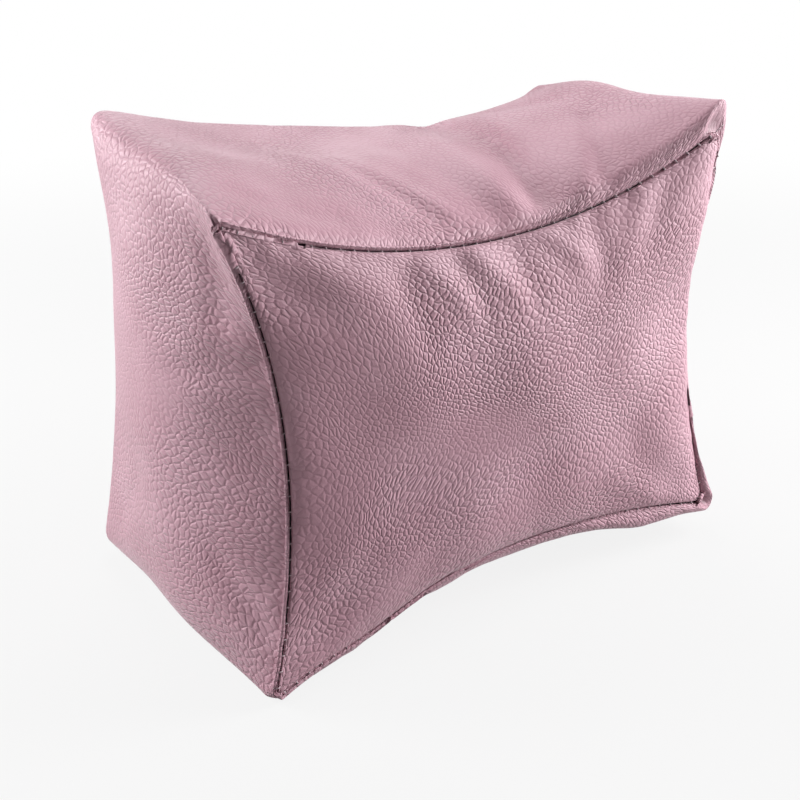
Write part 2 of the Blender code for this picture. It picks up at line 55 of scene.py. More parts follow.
# Loops round the cushion. Tips are x, y, z of the corners in the order bottom
# left, bottom right, top right, top left. Draws, pulls and peaks belong to the
# bottom, right, top and left side: how far it is drawn in, how far it is pulled
# toward +Y, and where along it that is greatest. Lobes are where a side stands out:
# the side, the place along it, how far, and the half width as a share of the side.
FRONT_SEAM = {
    "tips": [(-93.2, -65.2, 3.8), (99.8, -61.4, 15), (93.6, -60.5, 162.2), (-102.8, -61.3, 161.8)],
    "draws": (12.2, 3.4, 23.3, 16),
    "pulls": (8.2, 9.8, 7.5, 7.3),
    "peaks": (0.47, 0.5, 0.47, 0.47),
    "radii": (6, 7, 10, 7),
    "lobes": [(BOTTOM, 0.20, 4.2, 0.13), (RIGHT, 0.80, 3.0, 0.15)],
}
FRONT_LIP = {
    "tips": [(-94.8, -66.3, 0.3), (107.5, -67.5, 10.6), (101, -62.5, 175), (-105.2, -63.6, 165.6)],
    "draws": (14.5, 16.2, 29, 18),
    "pulls": (8.5, 10.5, 8.5, 8.5),
    "peaks": (0.46, 0.52, 0.47, 0.47),
    "radii": (5, 7, 20, 5),
    "lobes": [
        (BOTTOM, 0.82, 5.0, 0.08),
        (BOTTOM, 0.37, 2.2, 0.05),
        (BOTTOM, 0.18, 7.0, 0.13),
        (RIGHT, 0.80, 3.0, 0.15),
    ],
}
MIDDLE = {
    "tips": [(-101, 0, 6.7), (101, 0, 6.1), (101, 0, 169), (-100, 0, 172)],
    "draws": (-11.4, -3, 12.9, -4.6),
    "pulls": (0, 0, 0, 0),
    "peaks": (0.5, 0.5, 0.5, 0.5),
    "radii": (22, 22, 22, 22),
}
BACK_LIP = {
    "tips": [(-102, 61.3, 5.5), (107.7, 61, 0.5), (106, 57.8, 161), (-93.8, 54.2, 174.6)],
    "draws": (16, 14, 10.4, 3),
    "pulls": (-6.8, -7.8, -7.6, -8.0),
    "peaks": (0.5, 0.5, 0.36, 0.4),
    "radii": (9, 9, 9, 9),
}
BACK_SEAM = {
    "tips": [(-93.5, 63, 13.5), (99, 63, 9), (97.5, 60, 152.5), (-90.5, 57, 167)],
    "draws": (16, 14, 10.4, 3.5),
    "pulls": (-6.8, -7.8, -7.6, -8.0),
    "peaks": (0.5, 0.5, 0.36, 0.4),
    "radii": (9, 9, 9, 9),
}

# How far a panel is swollen, and how pointed its crown is: lower values are fuller
# toward the seams. The right half differs.
PANEL_SWELL = 0.0168
PANEL_FULLNESS = 0.85
RIGHT_FULLNESS = 0.58
BAND_FULLNESS = 0.9
BAND_ROLL_WIDTH = 0.0065

# The sewn edges: the radius and the half gap of the groove, where the flat leather
# starts, how deep the edges are turned in, and the leather itself.
EDGE_ROLL = 0.0008
EDGE_GAP = 0.00020
EDGE_START = 0.0020
ALLOWANCE = 0.005
LEATHER = 0.0012
EDGE_STEPS = 5
LIP_STEPS = 12
# The inside of the band has every row near the lips and only each third one between.
INNER_SPARE_ROWS = 3
STITCH_PITCH = 0.0054
STITCH_REACH = 0.0010
STITCH_SLANT = 0.0003
STITCH_LIFT = 0.00008
STITCH_DIVE = 0.0010
THREAD_RADIUS = 0.00024
THREAD_SIDES = 6
CLOSING_SEAM_X = -0.054
CLOSING_DEPTH = 0.0011
CLOSING_WIDTH = 0.0008
CLOSING_STITCH_DROP = 0.6 * CLOSING_DEPTH
CLOSING_ROWS = np.array([-2.2, -1.3, -0.7, -0.25, 0.25, 0.7, 1.3, 2.2]) * MM
# How much of the cover's length, depth and height the fibre core takes up.
CORE_SHARE = np.array([0.93, 0.84, 0.91])
# How much painted shade each millimetre of depth puts into a sunk corner.
HOLLOW_PAINTED_SHADE = 0.11

# How fine the leather is: the cell size in corners and in the open, and over
# what distance it grows.
CELL_FINE = 0.0005
CELL_OPEN = 0.0015
CELL_GROWTH = 0.030
BAND_CELLS = 74

# The gathers along the seams: pitch, then ranges of height, half width and reach.
GATHER_PITCH = 0.0075
GATHER_HEIGHT = (0.10, 0.42)
GATHER_WIDTH = (1.6, 3.6)
GATHER_REACH = (5, 15)
# Broad unevenness of the filling: how many waves, their lengths and their height.
LUMP_COUNT = 14
LUMP_LENGTH = (0.034, 0.085)
LUMP_HEIGHT = 0.0006
# Folds and lumps fade in over this distance from a seam.
EDGE_CALM = 0.006

# Folds on one side of the cushion each. Their points are in the plane
# of that side: x, y on the top and the bottom, x, z at the front and the back, and
# y, z at the ends. Then come the height, negative for a valley, and the half width.
FOLDS = [
    ("top", [(44, 50), (37, 22), (31, -22), (24, -53)], -2.5, 9.0),
    ("top", [(41, 10), (37, -8), (28, -34), (20, -56)], -1.0, 4.6),
    ("top", [(20, 12), (15, -12), (13, -34), (14, -57)], 1.2, 7.0),
    ("top", [(82, 6), (66, -16), (50, -40), (37, -60)], 1.1, 6.0),
    ("top", [(74, -12), (66, -24), (54, -44), (43, -58)], -1.2, 5.5),
    ("top", [(-46, 10), (-38, -14), (-24, -42)], 1.0, 8.0),
    ("top", [(-30, -4), (-20, -28), (-9, -52)], 0.9, 6.0),
    ("top", [(-37, 4), (-28, -22), (-15, -50)], -0.9, 5.0),
    ("top", [(2, 20), (0, -12), (4, -48)], -0.8, 6.0),
    ("top", [(60, 40), (70, 20), (78, 4)], -0.9, 7.0),
    ("top", [(-92, -40), (-70, -46), (-48, -44)], -0.7, 7.0),
    ("front", [(-90, 153), (-76, 146), (-50, 133)], 0.7, 5.6),
    ("front", [(-94, 146), (-78, 136), (-60, 122)], -0.5, 6.2),
    ("front", [(-34, 141), (-24, 130), (-13, 117)], 0.6, 4.5),
    ("front", [(-44, 140), (-36, 124), (-30, 108)], -0.6, 5.6),
    ("front", [(-15, 141), (-4, 130), (9, 117)], 0.6, 4.2),
    ("front", [(-21, 139), (-12, 126), (-6, 112)], -0.5, 4.2),
    ("front", [(14, 143), (26, 134), (38, 124)], 0.6, 4.2),
    ("front", [(4, 140), (10, 126), (16, 112)], -0.5, 5.0),
    ("front", [(36, 146), (42, 132), (44, 116)], -0.6, 5.2),
    ("front", [(62, 154), (60, 138), (54, 118)], 0.5, 6.2),
    ("front", [(80, 160), (72, 146), (66, 130)], -0.5, 5.6),
    ("front", [(-84, 16), (-66, 30), (-50, 50)], -0.6, 7.5),
    ("front", [(-72, 12), (-50, 24), (-34, 40)], 0.5, 6.2),
    ("front", [(92, 24), (74, 36), (60, 56)], -0.5, 7.5),
    ("front", [(84, 16), (66, 28), (50, 40)], 0.5, 6.2),
    ("left", [(-55, 158), (-57, 142), (-60, 126)], 1.0, 4.0),
    ("left", [(-46, 160), (-45, 140), (-40, 120)], -0.9, 6.0),
    ("left", [(-14, 104), (-44, 110), (-72, 114)], -0.7, 6.0),
    ("left", [(-30, 122), (-56, 121), (-78, 117)], 0.7, 5.0),
    ("left", [(-58, 30), (-66, 42), (-80, 56)], 0.9, 4.5),
    ("left", [(-60, 18), (-46, 32), (-30, 44)], -1.0, 5.0),
    ("left", [(40, 26), (24, 40), (10, 60)], -0.8, 7.0),
    ("right", [(-50, 150), (-38, 132), (-30, 108)], -1.2, 5.0),
    ("right", [(-40, 158), (-26, 142), (-16, 122)], 0.9, 4.5),
    ("right", [(44, 142), (30, 124), (18, 102)], -1.0, 5.5),
    ("right", [(-48, 26), (-34, 44), (-22, 66)], -1.1, 5.5),
    ("right", [(46, 18), (30, 36), (16, 56)], 0.9, 5.0),
    ("back", [(-84, 152), (-66, 138), (-52, 118)], -1.1, 5.5),
    ("back", [(-60, 160), (-50, 140), (-44, 118)], 0.8, 4.5),
    ("back", [(84, 138), (68, 124), (54, 106)], -1.0, 5.5),
    ("back", [(26, 138), (20, 122), (16, 102)], -0.9, 4.5),
    ("back", [(-82, 26), (-62, 40), (-48, 58)], -1.0, 6.0),
    ("back", [(86, 24), (68, 36), (52, 56)], 0.9, 5.0),
    ("bottom", [(90, -44), (72, -28), (50, -20)], 0.9, 5.0),
    ("bottom", [(-90, 44), (-76, 30), (-64, 16)], 0.9, 5.0),
]

# The sunk fold in each corner of the band, front then back: how deep it is, its
# half width, and how far its two lips stand up beside it.
CORNER_FOLDS = {
    -1: [(1.8, 1.7, 0.2), (4.2, 2.6, 0.3), (5.0, 5.0, 0.0), (0.9, 1.2, 0.0)],
    1: [(3.0, 2.2, 0.4), (3.0, 2.2, 0.4), (3.2, 2.4, 0.4), (3.0, 2.2, 0.4)],
}


def unit(vectors):
    """Vectors scaled to length one, along the last axis."""
    size = np.linalg.norm(vectors, axis=-1, keepdims=True)
    return vectors / np.maximum(size, 1e-12)


def square_to(vectors, axis):
    """The part of each vector square to an axis, at length one."""
    return unit(vectors - np.sum(vectors * axis, axis=-1, keepdims=True) * axis)


def quarter_round(share):
    """Rises like a quarter circle from 0 to 1 and stays there."""
    rest = 1.0 - np.clip(share, 0.0, 1.0)
    return np.sqrt(1.0 - rest**2)


def ease(values):
    """A smooth step from 0 to 1."""
    held = np.clip(values, 0.0, 1.0)
    return held * held * (3 - 2 * held)


class Loop:
    """A closed four-sided loop with drawn-in sides and rounded corners."""

    def __init__(self, tips, draws, pulls, peaks, radii, lobes=()):
        tips, self.lobes = np.array(tips, float) * MM, lobes
        draws, self.pulls = np.array(draws) * MM, np.array(pulls) * MM
        self.radii, self.peaks = np.array(radii) * MM, peaks
        self.corners, self.sags = tips.copy(), draws.copy()
        middle = np.array([0.5])
        for _ in range(6):
            tip = np.array([self.corner_curve(k, middle)[0] for k in range(4)])
            self.corners = self.corners + tips - tip
            out = self.corners - tips
            both = [(out[k] + out[(k + 1) % 4]) @ DRAWN_TO[k] / 2 for k in range(4)]
            self.sags = draws - np.array(both)

    def sharp(self, side, q):
        """Points on one side before its corners are rounded."""
        a, b = self.corners[side], self.corners[(side + 1) % 4]
        skewed = np.clip(q, 1e-9, 1.0) ** (math.log(0.5) / math.log(self.peaks[side]))
        weight = 4 * skewed * (1 - skewed)
        points = a + (b - a) * q[:, None]
        points += np.outer(weight, DRAWN_TO[side]) * self.sags[side]
        for at, place, out, width in self.lobes:
            if at == side:
                points -= np.outer(np.exp(-(((q - place) / width) ** 2)), DRAWN_TO[side]) * out * MM
        points[:, 1] += weight * self.pulls[side]
        return points

    def span(self, side):
        """Straight distance between the corners of a side."""
        return np.linalg.norm(self.corners[(side + 1) % 4] - self.corners[side])

    def corner_curve(self, corner, share):
        """A parabola round one corner, share 0 to 1 along it."""
        before = (corner - 1) % 4
        back = self.radii[corner] / self.span(before)
        ahead = self.radii[corner] / self.span(corner)
        start = self.sharp(before, np.array([1.0 - back]))[0]
        end = self.sharp(corner, np.array([ahead]))[0]
        s = share[:, None]
        return (1 - s) ** 2 * start + 2 * s * (1 - s) * self.corners[corner] + s**2 * end

    def side(self, side, q):
        """Points on one side at the stations q, rounded at both ends."""
        near_reach = self.radii[side] / self.span(side)
        far_reach = self.radii[(side + 1) % 4] / self.span(side)
        points = self.sharp(side, q)
        near, far = q < near_reach, q > 1 - far_reach
        points[near] = self.corner_curve(side, 0.5 + 0.5 * q[near] / near_reach)
        left = (q[far] - (1 - far_reach)) / far_reach
        points[far] = self.corner_curve((side + 1) % 4, 0.5 * left)
        return points


LOOPS = {
    "front_seam": Loop(**FRONT_SEAM),
    "front_lip": Loop(**FRONT_LIP),
    "middle": Loop(**MIDDLE),
    "back_lip": Loop(**BACK_LIP),
    "back_seam": Loop(**BACK_SEAM),
}


def stations(length, first, extra=()):
    """Shares from 0 to 1 along a side: a first cell, then cells that grow inward."""
    half = [0.0, first]
    while half[-1] < length / 2:
        growth = min(half[-1] / CELL_GROWTH, 1.0)
        half.append(half[-1] + CELL_FINE + (CELL_OPEN - CELL_FINE) * growth)
    half = np.array(half)
    half[2:] = first + (half[2:] - first) * (length / 2 - first) / (half[-1] - first)
    every = np.concatenate([half, length - half[-2::-1], extra])
    return np.sort(every) / length


class Weave:
    """The stations along the bottom and top (u) and along the ends (v)."""

    def __init__(self, u, v):
        self.u, self.v = u, v
        self.sides = (u, v, 1 - u[::-1], 1 - v[::-1])
        self.side = np.concatenate([np.full(len(s) - 1, k) for k, s in enumerate(self.sides)])

    def ring(self, name):
        """A loop as one closed ring of points, from the bottom left corner."""
        loop = LOOPS[name]
        return np.concatenate([loop.side(k, self.sides[k])[:-1] for k in range(4)])

    def corners(self):
        """Numbers of the ring points that are the four corners."""
        counts = [len(s) - 1 for s in self.sides]
        return [0, counts[0], counts[0] + counts[1], counts[0] + counts[1] + counts[2]]


def panel_base(name, face, u, v):
    """A face panel before its creases: a patch on its seam, swollen by the filling."""
    loop = LOOPS[name]
    low, high = loop.side(BOTTOM, u), loop.side(TOP, 1 - u)
    right, left = loop.side(RIGHT, v), loop.side(LEFT, 1 - v)
    ends = np.array([0.0, 1.0])
    low_ends, high_ends = loop.side(BOTTOM, ends), loop.side(TOP, 1 - ends)
    across, up = u[None, :, None], v[:, None, None]
    points = (1 - up) * low[None] + up * high[None]
    points = points + (1 - across) * left[:, None] + across * right[:, None]
    points = points - (1 - up) * ((1 - across) * low_ends[0] + across * low_ends[1])
    points = points - up * ((1 - across) * high_ends[0] + across * high_ends[1])
    fullness = PANEL_FULLNESS + (RIGHT_FULLNESS - PANEL_FULLNESS) * ease(2 * u - 1)
    full_u = np.clip(4 * u * (1 - u), 0, 1) ** fullness
    full_v = np.clip(4 * v * (1 - v), 0, 1) ** PANEL_FULLNESS
    points[:, :, 1] += face * PANEL_SWELL * np.outer(full_v, full_u)
    return points


def band_stations(lip_steps, cells):
    """Shares across the band: over the front lip, the flat, and the back lip."""
    roll = BAND_ROLL_WIDTH / DEPTH
    angle = np.linspace(0, math.pi / 2, lip_steps + 1)[1:]
    lip = roll * (1 - np.cos(angle))
    flat = roll + (1 - 2 * roll) * np.linspace(0.0, 1.0, cells)[1:-1]
    return np.concatenate([lip, flat, 1 - lip[::-1]])


def band_base(weave, across):
    """The band before its creases, row by row from the front seam to the back."""
    rings = {name: weave.ring(name) for name in LOOPS}
    roll = BAND_ROLL_WIDTH / DEPTH
    middle = rings["middle"]
    rows = []
    for station in across:
        face = "front" if station <= 0.5 else "back"
        seam, lip = rings[face + "_seam"], rings[face + "_lip"]
        x = min(station, 1 - station)
        turn = quarter_round(x / roll)
        bulge = math.sin(math.pi * x) ** BAND_FULLNESS
        row = seam + turn * (lip - seam) + bulge * (middle - lip)
        straight = seam[:, 1] + (middle[:, 1] - seam[:, 1]) * 2 * x
        row[:, 1] = straight + (lip[:, 1] - seam[:, 1]) * turn * (1 - 2 * x)
        rows.append(row)
    points = np.array(rows)
    points[..., 2] = np.maximum(points[..., 2], 0.0)
    return points


def grid_border(grid):
    """The border of a grid as a ring that starts at the bottom left."""
    sides = (grid[0, :-1], grid[:-1, -1], grid[-1, :0:-1], grid[:0:-1, 0])
    return np.concatenate(sides)


def set_grid_border(grid, border):
    """Write a ring back to the border of a grid."""
    rows, columns = grid.shape[0] - 1, grid.shape[1] - 1
    a, b, c = columns, columns + rows, 2 * columns + rows
    grid[0, :-1] = border[:a]
    grid[:-1, -1] = border[a:b]
    grid[-1, :0:-1] = border[b:c]
    grid[:0:-1, 0] = border[c:]


def outward(grid, closed):
    """Unit normals of a grid that point out of the cushion; closed joins the columns."""
    if closed:
        along = np.roll(grid, -1, axis=1) - np.roll(grid, 1, axis=1)
    else:
        along = np.gradient(grid, axis=1)
    normals = unit(np.cross(along, np.gradient(grid, axis=0)))
    return normals * np.sign(np.mean(np.sum(normals * (grid - CENTRE), axis=-1)))


def arc_lengths(points):
    """Distance along a line of points."""
    step = np.linalg.norm(np.diff(points, axis=0), axis=-1)
    return np.concatenate([[0.0], np.cumsum(step)])


def smooth_round(values, run, reach=0.012, count=720):
    """Values at places along a closed ring, evened out over a short reach."""
    total = run[-1] + run[1] - run[0]
    even = np.linspace(0, total, count, endpoint=False)
    kernel = np.exp(-((np.minimum(even, total - even) / reach) ** 2))
    sampled = np.interp(even, run, values, period=total)
    blended = np.fft.irfft(np.fft.rfft(sampled) * np.fft.rfft(kernel / kernel.sum()), count)
    return np.interp(run, even, blended, period=total)


SIDE_NAMES = ("bottom", "right", "top", "left")
PLANES = {"top": (0, 1), "bottom": (0, 1), "front": (0, 2), "back": (0, 2)}


def smooth_line(points, count=24):
    """A smooth line through a few points."""
    points = np.array(points, float) * MM
    share = np.linspace(0, 1, len(points))
    fine = np.linspace(0, 1, count)
    fit = np.polyfit(share, points, min(len(points) - 1, 3))
    return np.stack([np.polyval(fit[:, k], fine) for k in range(2)], axis=-1)


def fold_heights(points, side_name):
    """Height of the listed folds of one side at each point."""
    axes = PLANES.get(side_name, (1, 2))
    flat = points[..., axes]
    total = np.zeros(points.shape[:-1])
    for name, line, height, half_width in FOLDS:
        if name != side_name:
            continue
        route = smooth_line(line)
        nearest = np.full(total.shape, 1e9)
        share = np.zeros(total.shape)
        for k, spot in enumerate(route):
            away = np.sum((flat - spot) ** 2, axis=-1)
            closer = away < nearest
            nearest = np.where(closer, away, nearest)
            share = np.where(closer, k / (len(route) - 1), share)
        fade = np.clip(np.sin(math.pi * (0.06 + 0.88 * share)) * 1.6, 0, 1)
        core = np.exp(-nearest / (half_width * MM) ** 2)
        rim = np.exp(-nearest / (2.1 * half_width * MM) ** 2)
        total += height * MM * fade * (1.35 * core - 0.35 * rim)
    return total


class Puckers:
    """Small gathers that run out of a seam where its stitches draw the leather in."""

    def __init__(self, seed, length):
        rng = np.random.default_rng(seed)
        count = int(length / GATHER_PITCH)
        self.place = (np.arange(count) + rng.uniform(0.1, 0.9, count)) * length / count
        self.height = rng.uniform(*GATHER_HEIGHT, count) * MM * rng.choice([1, 1, -0.7], count)
        self.width = rng.uniform(*GATHER_WIDTH, count) * MM
        self.reach = rng.uniform(*GATHER_REACH, count) * MM
        self.slant = rng.uniform(-0.5, 0.5, count)

    def heights(self, along, distance):
        """Heights at places along the seam and distances from it."""
        total = np.zeros(np.broadcast(along, distance).shape)
        start = 1 - np.exp(-((distance / 0.0022) ** 2))
        for place, height, width, reach, slant in zip(
            self.place, self.height, self.width, self.reach, self.slant
        ):
            off = (along - place - slant * distance) / (width + 0.2 * distance)
            total -= height * start * np.exp(-(off**2) - (distance / reach) ** 2)
        return total


def lumps(points, seed):
    """Soft unevenness of the filling: a few broad waves through space."""
    rng = np.random.default_rng(seed)
    total = np.zeros(points.shape[:-1])
    for _ in range(LUMP_COUNT):
        way = rng.normal(size=3)
        wave = 2 * math.pi / rng.uniform(*LUMP_LENGTH)
        turn = rng.uniform(0, 2 * math.pi)
        total += np.sin(points @ (way / np.linalg.norm(way)) * wave + turn)
    return total / math.sqrt(LUMP_COUNT) * LUMP_HEIGHT


def shape_panel(grid, u, v, side_name, seed):
    """A face panel with its folds, gathers and lumps."""
    x, z = u[None, :] * LENGTH, v[:, None] * HEIGHT
    from_sides = (z, (1 - u)[None, :] * LENGTH, (1 - v)[:, None] * HEIGHT, x)
    along = (x, z, x, z)
    height = np.zeros(grid.shape[:2])
    edge = np.ones(grid.shape[:2])
    for k in range(4):
        length = LENGTH if k in (BOTTOM, TOP) else HEIGHT
        height = height + Puckers(seed + k, length).heights(along[k], from_sides[k])
        edge = edge * (1 - np.exp(-((from_sides[k] / EDGE_CALM) ** 2)))
    height = height + edge * (fold_heights(grid, side_name) + lumps(grid, seed))
    return grid + outward(grid, closed=False) * height[..., None]


def shape_band(grid, weave, across, seed):
    """The band with its folds, gathers, lumps and sunk corners, and its painted shade."""
    ring_length = 2 * (LENGTH + HEIGHT)
    run = arc_lengths(np.concatenate([grid[len(grid) // 2], grid[len(grid) // 2][:1]]))
    run = run[:-1] / run[-1] * ring_length
    from_front = arc_lengths(grid[:, len(weave.u) // 2])
    from_front = (from_front + 0.001)[:, None]
    from_back = from_front[-1, 0] + 0.001 - from_front
    height = Puckers(seed, ring_length).heights(run[None, :], from_front)
    height = height + Puckers(seed + 1, ring_length).heights(run[None, :], from_back)
    nearest = np.minimum(from_front, from_back)
    edge = 1 - np.exp(-((nearest / EDGE_CALM) ** 2))
    folds = np.zeros(grid.shape[:2])
    for k, name in enumerate(SIDE_NAMES):
        on_side = weave.side == k
        share = weave.sides[k][:-1]
        window = ease(np.minimum(share, 1 - share) / 0.05)
        folds[:, on_side] = fold_heights(grid[:, on_side], name) * window[None, :]
    height = height + edge * (folds + lumps(grid, seed))
    shaped = grid + outward(grid, closed=True) * height[..., None]
    # Painted shade for the sunk corners and the sunk closing seam.
    painted_shade = np.zeros(grid.shape[:2])
    for face, rows in CORNER_FOLDS.items():
        seam = weave.ring("front_seam" if face < 0 else "back_seam")
        lip = weave.ring("front_lip" if face < 0 else "back_lip")
        from_seam = across if face < 0 else 1 - across
        turn = quarter_round(from_seam * DEPTH / BAND_ROLL_WIDTH)
        profile = np.sin(math.pi * turn)[:, None]
        for corner, (depth, width, stand) in zip(weave.corners(), rows):
            step = arc_lengths(np.concatenate([lip, lip[:1]]))
            total = step[-1]
            away = (step[:-1] - step[corner] + total / 2) % total - total / 2
            tip = (lip[corner] + seam[corner]) / 2
            inward = unit(np.array([-tip[0], -face * 0.10, CENTRE[2] - tip[2]]))
            dip = np.exp(-((away / (width * MM)) ** 2))
            ridge = np.exp(-(((np.abs(away) - 2.0 * width * MM) / (width * MM)) ** 2))
            amount = (depth * dip - stand * ridge) * MM
            shaped = shaped + profile[..., None] * amount[None, :, None] * inward
            # Painted shade in each sunk corner fold, darker the deeper the fold.
            painted_shade = np.maximum(painted_shade, HOLLOW_PAINTED_SHADE * depth * profile * dip[None, :])
    shaped[..., 2] = np.maximum(shaped[..., 2], 0.0)
    from_closing = weave.u[:-1] * LENGTH - (LENGTH / 2 + CLOSING_SEAM_X)
    under = weave.side == BOTTOM
    shaped[:, under, 2] += CLOSING_DEPTH * np.exp(-((from_closing / CLOSING_WIDTH) ** 2))
    # Painted shade along the closing seam's groove.
    closing_painted_shade = ease(1.4 - np.abs(from_closing) / CLOSING_WIDTH)
    painted_shade[:, under] = np.maximum(painted_shade[:, under], closing_painted_shade[None, :])
    return shaped, painted_shade


class SeamFrame:
    """Directions along a seam: into the panel, into the band, and into the cushion."""

    def __init__(self, weave, face):
        name = "front_seam" if face < 0 else "back_seam"
        line = weave.ring(name)
        reach = EDGE_START
        across = np.clip(weave.u, reach / LENGTH, 1 - reach / LENGTH)
        up = np.clip(weave.v, reach / HEIGHT, 1 - reach / HEIGHT)
        in_panel = grid_border(panel_base(name, face, across, up))
        share = reach / DEPTH
        in_band = band_base(weave, [share if face < 0 else 1 - share])[0]
        tangent = unit(np.roll(line, -1, axis=0) - np.roll(line, 1, axis=0))
        self.line, self.tangent = line, tangent
        self.panel_way = square_to(in_panel - line, tangent)
        self.band_way = square_to(in_band - line, tangent)
        out_panel = -face * np.cross(tangent, self.panel_way)
        out_band = face * np.cross(tangent, self.band_way)
        self.inward = -unit(out_panel + out_band)
        self.side = square_to(self.band_way, self.inward)

    def rolled(self, way):
        """Rows from just inside the sheet down the rolled edge to its turned-in end."""
        rows = []
        for step in range(EDGE_STEPS, -1, -1):
            angle = math.pi / 2 * step / EDGE_STEPS
            off = EDGE_GAP + EDGE_ROLL * (1 - math.cos(angle))
            sink = EDGE_ROLL * (1 - math.sin(angle))
            rows.append(self.line + way * off + self.inward * sink)
        rows.append(self.line + self.inward * ALLOWANCE)
        return rows


def add_mesh(name, points, faces, material, uv=None, painted_shade_mask=None):
    """A mesh object with smooth faces, one material, its flat pattern as UV, and painted shade as a
    point attribute.
    """
    mesh = bpy.data.meshes.new(name)
    mesh.from_pydata(points.tolist(), [], faces.tolist() if hasattr(faces, "tolist") else faces)
    mesh.update()
    item = bpy.data.objects.new(name, mesh)
    bpy.context.scene.collection.objects.link(item)
    mesh.materials.append(material)
    mesh.shade_smooth()
    if uv is not None:
        layer = mesh.uv_layers.new(name="cut")
        loops = np.zeros(len(mesh.loops), np.int32)
        mesh.loops.foreach_get("vertex_index", loops)
        layer.data.foreach_set("uv", uv[loops].astype(np.float32).ravel())
    if painted_shade_mask is not None:
        data = mesh.attributes.new("painted_shade_mask", "FLOAT", "POINT")
        data.data.foreach_set("value", np.asarray(painted_shade_mask, np.float32).ravel())
    return item


def quads(numbers, closed_rows=False, closed_columns=False):
    """Faces between the cells of a grid of point numbers."""
    if closed_columns:
        numbers = np.concatenate([numbers, numbers[:, :1]], axis=1)
    if closed_rows:
        numbers = np.concatenate([numbers, numbers[:1]], axis=0)
    a, b = numbers[:-1, :-1], numbers[:-1, 1:]
    c, d = numbers[1:, 1:], numbers[1:, :-1]
    return np.stack([a, b, c, d], axis=-1).reshape(-1, 4)


class Shader:
    """One socket of a material's nodes, with sums written as Python."""

    def __init__(self, tree, socket):
        self.tree, self.socket = tree, socket

    def node(self, kind, settings=None, outlet=0, **values):
        """Add a node: its type, its settings, then the values or links of its sockets."""
        node = self.tree.nodes.new(kind)
        for key, value in (settings or {}).items():
            setattr(node, key, value)
        for key, value in values.items():
            index = int(key[1:]) if key[0] == "i" and key[1:].isdigit() else key.replace("_", " ")
            target = node.inputs[index]
            if isinstance(value, Shader):
                self.tree.links.new(value.socket, target)
            else:
                target.default_value = value
        return Shader(self.tree, node.outputs[outlet])

    def math(self, operation, *others):
        values = {f"i{k}": value for k, value in enumerate((self, *others))}
        return self.node("ShaderNodeMath", {"operation": operation}, **values)

    def vector(self, operation, *others):
        values = {f"i{k}": value for k, value in enumerate((self, *others))}
        return self.node("ShaderNodeVectorMath", {"operation": operation}, **values)

    def __add__(self, other):
        return self.math("ADD", other)

    def __radd__(self, other):
        return self.math("ADD", other)

    def __sub__(self, other):
        return self.math("SUBTRACT", other)

    def __rsub__(self, other):
        return self.node("ShaderNodeMath", {"operation": "SUBTRACT"}, i0=other, i1=self)

    def __mul__(self, other):
        return self.math("MULTIPLY", other)

    def __pow__(self, other):
        return self.math("POWER", other)

    def ramp(self, low, high, to_low=0.0, to_high=1.0):
        """A smooth step of this value from low to high."""
        ends = {"i0": self, "i1": low, "i2": high, "i3": to_low, "i4": to_high}
        return self.node("ShaderNodeMapRange", {"interpolation_type": "SMOOTHSTEP"}, **ends)

    def blend(self, low, high):
        """A colour between two others, by this value."""
        ends = {"i0": self, "i6": low, "i7": high}
        return self.node("ShaderNodeMix", {"data_type": "RGBA"}, outlet=2, **ends)

    def noise(self, place, scale, detail=2.0, outlet=0):
        """Soft two-dimensional noise at a place."""
        values = {"Vector": place, "Scale": scale, "Detail": detail}
        return self.node("ShaderNodeTexNoise", {"noise_dimensions": "2D"}, outlet, **values)

    def cells(self, place, scale, turn, stretch):
        """Distance to the border of irregular cells, 0 on it."""
        turned = {"Vector": place, "Rotation": (0.0, 0.0, turn), "Scale": stretch}
        turned = self.node("ShaderNodeMapping", None, **turned)
        kind = {"voronoi_dimensions": "2D", "feature": "DISTANCE_TO_EDGE"}
        return self.node("ShaderNodeTexVoronoi", kind, Vector=turned, Scale=scale, Randomness=0.82)


def new_material(name, **principled):
    """A material, its shader node and an empty socket from which nodes are added."""
    material = bpy.data.materials.new(name)
    material.use_nodes = True
    tree = material.node_tree
    shader = tree.nodes["Principled BSDF"]
    for key, value in principled.items():
        shader.inputs[key.replace("_", " ")].default_value = value
    return material, shader, Shader(tree, None)


def link(value, shader, name):
    """Join a socket to one input of the shader."""
    value.tree.links.new(value.socket, shader.inputs[name])


PINK = (0.510, 0.272, 0.336, 1.0)
PINK_PALE = (0.570, 0.322, 0.392, 1.0)
# Painted shade: a dark pink for grain creases and sunk corners, near black for the depth of the
# seam grooves.
PINK_PAINTED_SHADE = (0.250, 0.100, 0.140, 1.0)
SEAM_PAINTED_SHADE = (0.060, 0.020, 0.032, 1.0)
THREAD = (0.74, 0.62, 0.66, 1.0)
THREAD_SHADE = (0.58, 0.44, 0.49, 1.0)
FIBRE = (0.86, 0.85, 0.82, 1.0)
FIBRE_SHADE = (0.72, 0.71, 0.68, 1.0)

GRAIN_SCALE = 395.0
GRAIN_DEPTH = 0.00029
# How the lines of the grain wander: scale and detail of a noise, and how far it moves them.
GRAIN_WANDERS = [(16.0, 1.0, 0.022), (230.0, 2.0, 0.0013), (620.0, 1.0, 0.0004)]
# How much finer the grain of the band is than that of the panels, along and across it.
BAND_GRAIN = np.array([1.18, 0.90])


